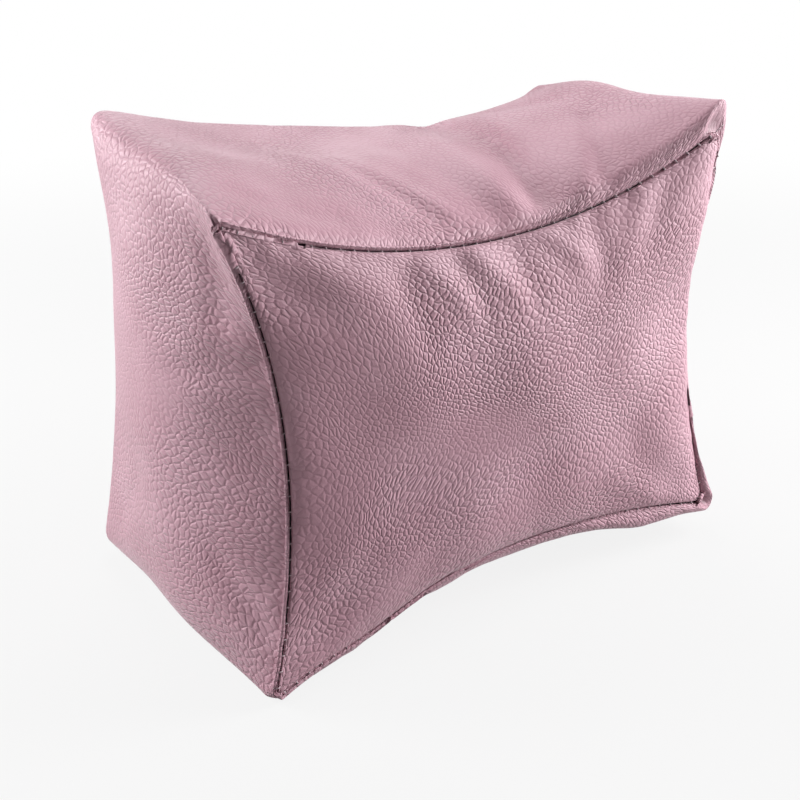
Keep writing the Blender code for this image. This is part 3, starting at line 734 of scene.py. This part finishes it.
def leather_material():
    """Soft pink leather with a pressed grain of rounded, scale-like pebbles, painted shade in the
    creases of the grain, and painted shade in the seam grooves and sunk corners.
    """
    sheen = {"Sheen_Weight": 0.30, "Sheen_Roughness": 0.40}
    material, shader, pen = new_material("pebbled_pink_leather", Roughness=0.5, **sheen)
    cut = pen.node("ShaderNodeUVMap", {"uv_map": "cut"})
    bent = cut
    for scale, detail, reach in GRAIN_WANDERS:
        drift = pen.noise(cut, scale, detail, outlet=1).vector("SUBTRACT", (0.5, 0.5, 0.5))
        bent = drift.vector("MULTIPLY_ADD", (reach, reach, 0.0), bent)
    edge = pen.cells(bent, GRAIN_SCALE, 0.6, (1.0, 0.86, 1.0))
    small = pen.cells(bent, GRAIN_SCALE * 1.7, -0.5, (0.8, 1.0, 1.0))
    patch = pen.noise(cut, 120.0).ramp(0.52, 0.66)
    pebble = edge.ramp(0.0, 0.34) ** 0.7
    nick = small.ramp(0.0, 0.12, 1.0, 0.0) * patch
    fine = pen.noise(cut, 2400.0, 3.0)
    # The painted shade that the mesh carries, for seam grooves, sunk corners and the closing seam;
    # it also flattens the grain there.
    painted_shade_mask = pen.node("ShaderNodeAttribute", {"attribute_name": "painted_shade_mask"}, outlet=2)
    taut = pen.noise(cut, 15.0, 1.0).ramp(0.34, 0.56, 0.45, 1.0) * (1.0 - painted_shade_mask)
    height = (pebble - nick * 0.10) * taut + fine * 0.10
    bump = height.node("ShaderNodeBump", None, Height=height, Strength=1.0, Distance=GRAIN_DEPTH)
    link(bump, shader, "Normal")
    # The crease lines of the grain, for roughness and for painted shade.
    crease = (edge.ramp(0.0, 0.065, 1.0, 0.0) + nick * 0.22).math("MINIMUM", 1.0) * taut
    tone = pen.noise(cut, 26.0, 3.0).ramp(0.35, 0.70)
    base = tone.blend(PINK, PINK_PALE)
    # Painted shade in the creases of the grain.
    colour = (crease * 0.28).blend(base, PINK_PAINTED_SHADE)
    # Painted shade: dark pink in the sunk corners and shallow grooves, near black deep in the seam
    # grooves.
    colour = (painted_shade_mask * 1.4).math("MINIMUM", 1.0).blend(colour, PINK_PAINTED_SHADE)
    link((painted_shade_mask**2).blend(colour, SEAM_PAINTED_SHADE), shader, "Base Color")
    link(0.47 + crease * 0.2 + fine * 0.08, shader, "Roughness")
    return material


def thread_material():
    """Pale twisted sewing thread."""
    material, shader, pen = new_material("pale_thread", Roughness=0.6)
    place = pen.node("ShaderNodeTexCoord", None, outlet=3)
    twist = pen.node("ShaderNodeTexWave", None, outlet=1, Vector=place, Scale=900.0, Distortion=2.0)
    link(twist.blend(THREAD, THREAD_SHADE), shader, "Base Color")
    return material


def fibre_material():
    """Loose white fibre stuffing."""
    material, shader, pen = new_material("white_fibre", Roughness=0.95)
    place = pen.node("ShaderNodeTexCoord", None, outlet=3)
    tangle = {"Vector": place, "Scale": 260.0, "Detail": 6.0, "Distortion": 3.0}
    strand = pen.node("ShaderNodeTexNoise", None, **tangle)
    link(strand.blend(FIBRE_SHADE, FIBRE), shader, "Base Color")
    bump = strand.node("ShaderNodeBump", None, Height=strand, Strength=0.8, Distance=0.001)
    link(bump, shader, "Normal")
    return material


leather = leather_material()
thread = thread_material()


def painted_edge_shade(rows):
    """How much painted shade each rolled row gets, none at its start and most at its turned-in end
    deep in the seam groove.
    """
    steps = np.linspace(0, 1, len(rows))
    return [ease((step - 0.52) / 0.30) for step in steps]


def panel_piece(name, grid, weave, seam, face):
    """A face panel with its edge rolled in, as a closed shell of leather."""
    rows = seam.rolled(seam.panel_way)
    grid = grid.copy()
    set_grid_border(grid, rows[0])
    count = grid.shape[0] * grid.shape[1]
    numbers = np.arange(count).reshape(grid.shape[:2])
    flat = (weave.u[None, :] * LENGTH, weave.v[:, None] * HEIGHT)
    uv_grid = np.stack(np.broadcast_arrays(*flat), axis=-1)
    points, uvs, painted_shades = [grid.reshape(-1, 3)], [uv_grid.reshape(-1, 2)], [np.zeros(count)]
    faces, rim = [quads(numbers)], [grid_border(numbers)]
    first = count
    # Each rolled row carries painted shade, darker deeper in the seam groove.
    for row, painted_shade in zip(rows[1:], painted_edge_shade(rows)[1:]):
        points.append(row)
        uvs.append(grid_border(uv_grid))
        painted_shades.append(np.full(len(row), painted_shade))
        rim.append(np.arange(first, first + len(row)))
        first += len(row)
    faces.append(quads(np.array(rim)[::-1], closed_columns=True))
    inner = grid - outward(grid, closed=False) * LEATHER
    set_grid_border(inner, rows[0] + seam.inward * LEATHER + seam.panel_way * LEATHER)
    inner_numbers = numbers + first
    points.append(inner.reshape(-1, 3))
    uvs.append(uv_grid.reshape(-1, 2))
    painted_shades.append(np.zeros(count))
    faces.append(quads(inner_numbers)[:, ::-1])
    inner_rim = grid_border(inner_numbers)
    faces.append(quads(np.array([inner_rim, rim[-1]]), closed_columns=True))
    faces = np.concatenate(faces)
    if face > 0:
        faces = faces[:, ::-1]
    every = (np.concatenate(points), faces, leather, np.concatenate(uvs), np.concatenate(painted_shades))
    return add_mesh(name, *every)


def band_piece(name, main, main_painted_shade, front, back):
    """The wrap band with both edges rolled in, as a closed shell of leather."""
    lead = front.rolled(front.band_way)[::-1]
    tail = back.rolled(back.band_way)
    rows = np.array([*lead, *main, *tail])
    last = len(rows) - 1
    numbers = np.arange(rows.shape[0] * rows.shape[1]).reshape(rows.shape[:2])
    near = len(lead) + LIP_STEPS + INNER_SPARE_ROWS
    spare = range(near, last - near, INNER_SPARE_ROWS)
    picked = np.array([*range(1, near), *spare, *range(last - near + 1, last)])
    inner = (rows - outward(rows, closed=True) * LEATHER)[picked][::-1]
    inner_numbers = np.arange(inner.shape[0] * inner.shape[1]).reshape(inner.shape[:2])
    inner_numbers = inner_numbers + numbers.size
    faces = quads(np.concatenate([numbers, inner_numbers]), closed_rows=True, closed_columns=True)
    centre_row = rows[len(rows) // 2]
    along = arc_lengths(np.concatenate([centre_row, centre_row[:1]]))[:-1]
    across = np.cumsum(np.linalg.norm(np.diff(rows, axis=0, prepend=rows[:1]), axis=-1), axis=0)
    across = np.array([smooth_round(row, along) for row in across - across[len(rows) // 2]])
    uv = np.stack(np.broadcast_arrays(along[None, :], across), axis=-1) * BAND_GRAIN
    columns = np.ones((1, rows.shape[1]))
    # Painted shade: the rolled rows darken into the seam grooves, and the main rows carry that of
    # the sunk corners and closing seam.
    lead_painted_shade = np.array(painted_edge_shade(lead))[::-1, None] * columns
    tail_painted_shade = np.array(painted_edge_shade(tail))[:, None] * columns
    painted_shade = np.concatenate([lead_painted_shade, main_painted_shade, tail_painted_shade])
    points = np.concatenate([rows.reshape(-1, 3), inner.reshape(-1, 3)])
    uvs = np.concatenate([uv.reshape(-1, 2), uv[picked][::-1].reshape(-1, 2)])
    painted_shades = np.concatenate([painted_shade.ravel(), np.zeros(inner.shape[0] * inner.shape[1])])
    return add_mesh(name, points, faces[:, ::-1], leather, uvs, painted_shades)


def fibre_core():
    """The stuffing as one closed soft form just inside the cover."""
    weave = Weave(np.linspace(0, 1, 31), np.linspace(0, 1, 25))
    front = panel_base("front_seam", -1, weave.u, weave.v)
    back = panel_base("back_seam", 1, weave.u, weave.v)
    band = band_base(weave, band_stations(3, 18))
    count = front.shape[0] * front.shape[1]
    front_numbers = np.arange(count).reshape(front.shape[:2])
    band_numbers = np.arange(band.shape[0] * band.shape[1]).reshape(band.shape[:2]) + count
    back_numbers = front_numbers + count + band_numbers.size
    ring_numbers = np.concatenate(
        [grid_border(front_numbers)[None], band_numbers, grid_border(back_numbers)[None]]
    )
    faces = [quads(front_numbers), quads(back_numbers)[:, ::-1]]
    faces.append(quads(ring_numbers, closed_columns=True)[:, ::-1])
    points = np.concatenate([front.reshape(-1, 3), band.reshape(-1, 3), back.reshape(-1, 3)])
    points = CENTRE + (points - CENTRE) * CORE_SHARE
    points[:, 2] -= 0.001
    return add_mesh("fibre_core", points, np.concatenate(faces), fibre_material())


def add_thread(points, faces, spots, along, inward):
    """A thin thread through a few spots, closed at both ends."""
    sides, first = THREAD_SIDES, len(points)
    for spot in spots:
        for spoke in range(sides):
            angle = 2 * math.pi * spoke / sides
            spread = math.cos(angle) * along + math.sin(angle) * inward
            points.append(spot + THREAD_RADIUS * spread)
    for step in range(len(spots) - 1):
        for spoke in range(sides):
            a = first + step * sides + spoke
            b = first + step * sides + (spoke + 1) % sides
            faces.append((a, b, b + sides, a + sides))
    faces.append(tuple(range(first, first + sides))[::-1])
    last = first + (len(spots) - 1) * sides
    faces.append(tuple(range(last, last + sides)))


def add_stitch(points, faces, centre, side, inward, along):
    """One short thread bridge that dives into the leather at both ends."""
    share = np.linspace(-1, 1, 9)[:, None]
    spots = centre + side * share * STITCH_REACH + along * share * STITCH_SLANT
    spots = spots + inward * (STITCH_DIVE * np.abs(share) ** 5 - STITCH_LIFT)
    add_thread(points, faces, spots, along, inward)


def add_loose_end(points, faces, seam, corner):
    """The cut end of the thread that shows in one open corner."""
    share = np.linspace(0, 1, 7)[:, None]
    side, inward, along = seam.side[corner], seam.inward[corner], seam.tangent[corner]
    spots = seam.line[corner] + inward * (0.0010 - 0.0022 * share)
    spots = spots + side * 0.0046 * share - along * 0.0018 * share**2
    add_thread(points, faces, spots, along, inward)


def stitch_lines(name, seams, band, weave, material):
    """Thread bridges across the seams at an even pitch, and one loose end."""
    points, faces = [], []
    for seam in seams:
        closed = np.concatenate([seam.line, seam.line[:1]])
        run = arc_lengths(closed)
        count = int(run[-1] / STITCH_PITCH)
        for k in range(count):
            at = (k + 0.5) * run[-1] / count
            i = min(max(int(np.searchsorted(run, at)) - 1, 0), len(seam.line) - 1)
            gap = max(run[i + 1] - run[i], 1e-9)
            centre = seam.line[i] + (closed[i + 1] - closed[i]) * (at - run[i]) / gap
            add_stitch(points, faces, centre, seam.side[i], seam.inward[i], seam.tangent[i])
    add_loose_end(points, faces, seams[0], weave.corners()[TOP])
    column = int(np.argmin(np.abs(weave.u * LENGTH - (LENGTH / 2 + CLOSING_SEAM_X))))
    line = band[LIP_STEPS:-LIP_STEPS, column]
    run = arc_lengths(line)
    for at in np.arange(STITCH_PITCH / 2, run[-1], STITCH_PITCH):
        centre = np.array([np.interp(at, run, line[:, k]) for k in range(3)])
        centre[2] -= CLOSING_STITCH_DROP
        add_stitch(points, faces, centre, X_AXIS, Z_AXIS, Y_AXIS)
    return add_mesh(name, np.array(points), faces, material)


panel_weave = Weave(stations(LENGTH, EDGE_START), stations(HEIGHT, EDGE_START))
near_closing = LENGTH / 2 + CLOSING_SEAM_X + CLOSING_ROWS
band_weave = Weave(stations(LENGTH, CELL_FINE, near_closing), stations(HEIGHT, CELL_FINE))
across_band = band_stations(LIP_STEPS, BAND_CELLS)

front_grid = panel_base("front_seam", -1, panel_weave.u, panel_weave.v)
back_grid = panel_base("back_seam", 1, panel_weave.u, panel_weave.v)
band_grid = band_base(band_weave, across_band)

front_grid = shape_panel(front_grid, panel_weave.u, panel_weave.v, "front", 11)
back_grid = shape_panel(back_grid, panel_weave.u, panel_weave.v, "back", 23)
band_grid, band_painted_shade = shape_band(band_grid, band_weave, across_band, 37)

front_cover = panel_piece("front_cover", front_grid, panel_weave, SeamFrame(panel_weave, -1), -1)
back_cover = panel_piece("back_cover", back_grid, panel_weave, SeamFrame(panel_weave, 1), 1)
front_edge, back_edge = SeamFrame(band_weave, -1), SeamFrame(band_weave, 1)
band_cover = band_piece("band_cover", band_grid, band_painted_shade, front_edge, back_edge)
seams = [front_edge, back_edge]
stitches = stitch_lines("seam_stitches", seams, band_grid, band_weave, thread)
core = fibre_core()

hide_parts("front_panel")
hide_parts("back_panel")
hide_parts("wrap_band")
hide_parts("filling")
for piece in (front_cover, back_cover, band_cover):
    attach(piece, "root")
for piece in (stitches, core):
    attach(piece, "root")


AMBIENT = 0.02
FLOOR_SIDES = 96
FLOOR_RADIUS = 6.0
FLOOR_DROP = 0.0002
FLOOR_GREY = (0.44, 0.44, 0.44, 1.0)
# How much of what the camera sees of the floor near the cushion is plain white.
FLOOR_GLOW = 0.86


def lit_white(name, strength, share):
    """A matt white that looks paler to the camera than its own light makes it."""
    material, shader, pen = new_material(name, Roughness=0.9)
    shader.inputs["Base Color"].default_value = FLOOR_GREY
    shader.inputs["Specular IOR Level"].default_value = 0.0
    path = pen.tree.nodes.new("ShaderNodeLightPath")
    seen = Shader(pen.tree, path.outputs["Is Camera Ray"])
    seen = seen.math("MAXIMUM", Shader(pen.tree, path.outputs["Is Glossy Ray"]))
    seen = seen.math("MAXIMUM", Shader(pen.tree, path.outputs["Is Transmission Ray"]))
    place = pen.node("ShaderNodeNewGeometry")
    away = place.node("ShaderNodeVectorMath", {"operation": "LENGTH"}, outlet=1, i0=place)
    white = away.ramp(0.25, 0.75, share, 1.0)
    glow = pen.tree.nodes.new("ShaderNodeEmission")
    glow.inputs["Strength"].default_value = strength
    blend = pen.tree.nodes.new("ShaderNodeMixShader")
    pen.tree.links.new((seen * white).socket, blend.inputs[0])
    pen.tree.links.new(shader.outputs[0], blend.inputs[1])
    pen.tree.links.new(glow.outputs[0], blend.inputs[2])
    output = pen.tree.nodes["Material Output"]
    pen.tree.links.new(blend.outputs[0], output.inputs["Surface"])
    return material


def make_floor():
    """A wide pale floor under the cushion."""
    angles = np.linspace(0, 2 * math.pi, FLOOR_SIDES, endpoint=False)
    round_way = (np.cos(angles), np.sin(angles), np.zeros(FLOOR_SIDES))
    points = FLOOR_RADIUS * np.stack(round_way, axis=-1)
    white = lit_white("pale_floor", 1.0, FLOOR_GLOW)
    floor = add_mesh("floor", points, [tuple(range(FLOOR_SIDES))], white)
    floor.location.z = -FLOOR_DROP


def make_lamp(name, place, target, size, power):
    """A square soft lamp that faces a point."""
    data = bpy.data.lights.new(name, "AREA")
    data.shape, data.size, data.energy = "SQUARE", size, power
    lamp = bpy.data.objects.new(name, data)
    bpy.context.scene.collection.objects.link(lamp)
    lamp.location = place
    lamp.visible_camera = False
    aim(lamp, target)


def aim(item, target):
    """Turn a lamp or camera so that it looks at a point."""
    away = np.array(item.location) - np.array(target)
    back = away / np.linalg.norm(away)
    right = unit(np.cross((0.0, 0.0, 1.0), back))
    up = np.cross(back, right)
    set_axes(item, right, up, back)


def set_axes(item, right, up, back):
    """Give an item its three axes and keep its place."""
    matrix = np.identity(4)
    matrix[:3, 0], matrix[:3, 1], matrix[:3, 2] = right, up, back
    matrix[:3, 3] = item.location
    item.matrix_world = Matrix(matrix.tolist())


def make_world():
    """Soft light from all round, and a white background for the camera."""
    world = bpy.data.worlds.new("studio")
    bpy.context.scene.world = world
    world.use_nodes = True
    tree = world.node_tree
    background = tree.nodes["Background"]
    path = tree.nodes.new("ShaderNodeLightPath")
    seen = Shader(tree, path.outputs["Is Camera Ray"])
    seen = seen.math("MAXIMUM", Shader(tree, path.outputs["Is Transmission Ray"]))
    strength = seen * (1.0 - AMBIENT) + AMBIENT
    background.inputs["Color"].default_value = (1.0, 1.0, 1.0, 1.0)
    tree.links.new(strength.socket, background.inputs["Strength"])


# Each lamp: its place, what it points at, its size in metres and its power in watts.
LAMPS = {
    "right_low_lamp": ((0.50, -0.30, 0.16), (0, 0, 0.08), 0.3, 2.4),
    "right_high_lamp": ((0.45, -0.15, 0.35), (0, 0, 0.08), 0.3, 3.1),
    "left_lamp": ((-0.45, 0.40, 0.30), (0, 0, 0.08), 0.3, 3.5),
    "left_high_lamp": ((-0.50, 0.05, 0.45), (0, 0, 0.08), 0.3, 1.1),
    "back_lamp": ((-0.30, 0.55, 0.25), (0, 0, 0.08), 0.3, 0.5),
    "top_lamp": ((0.10, 0.30, 0.65), (0, 0, 0.08), 0.3, 1.7),
}
CAMERA = {"azimuth": -0.583, "elevation": 0.373, "roll": -0.009, "distance": 0.491}
CAMERA_TARGET = (0.0, 0.0, 0.0875)
FOCAL_PIXELS = 1303.0
SHIFT_PIXELS = (4.8, -64.8)


def make_camera():
    """The camera of the photograph: half left of the front and a little above."""
    az, el, roll = CAMERA["azimuth"], CAMERA["elevation"], CAMERA["roll"]
    back = np.array([math.sin(az) * math.cos(el), -math.cos(az) * math.cos(el), math.sin(el)])
    right = unit(np.cross((0.0, 0.0, 1.0), back))
    up = np.cross(back, right)
    turned_right = math.cos(roll) * right + math.sin(roll) * up
    turned_up = -math.sin(roll) * right + math.cos(roll) * up
    data = bpy.data.cameras.new("camera")
    data.sensor_width = 36.0
    data.lens = FOCAL_PIXELS / 800 * 36.0
    data.shift_x = -SHIFT_PIXELS[0] / 800
    data.shift_y = SHIFT_PIXELS[1] / 800
    data.clip_start = 0.01
    camera = bpy.data.objects.new("camera", data)
    bpy.context.scene.collection.objects.link(camera)
    camera.location = np.array(CAMERA_TARGET) + CAMERA["distance"] * back
    set_axes(camera, turned_right, turned_up, back)
    bpy.context.scene.camera = camera


make_floor()
make_world()
make_camera()
for lamp_name, lamp in LAMPS.items():
    make_lamp(lamp_name, *lamp)
bpy.context.scene.view_settings.view_transform = "Standard"
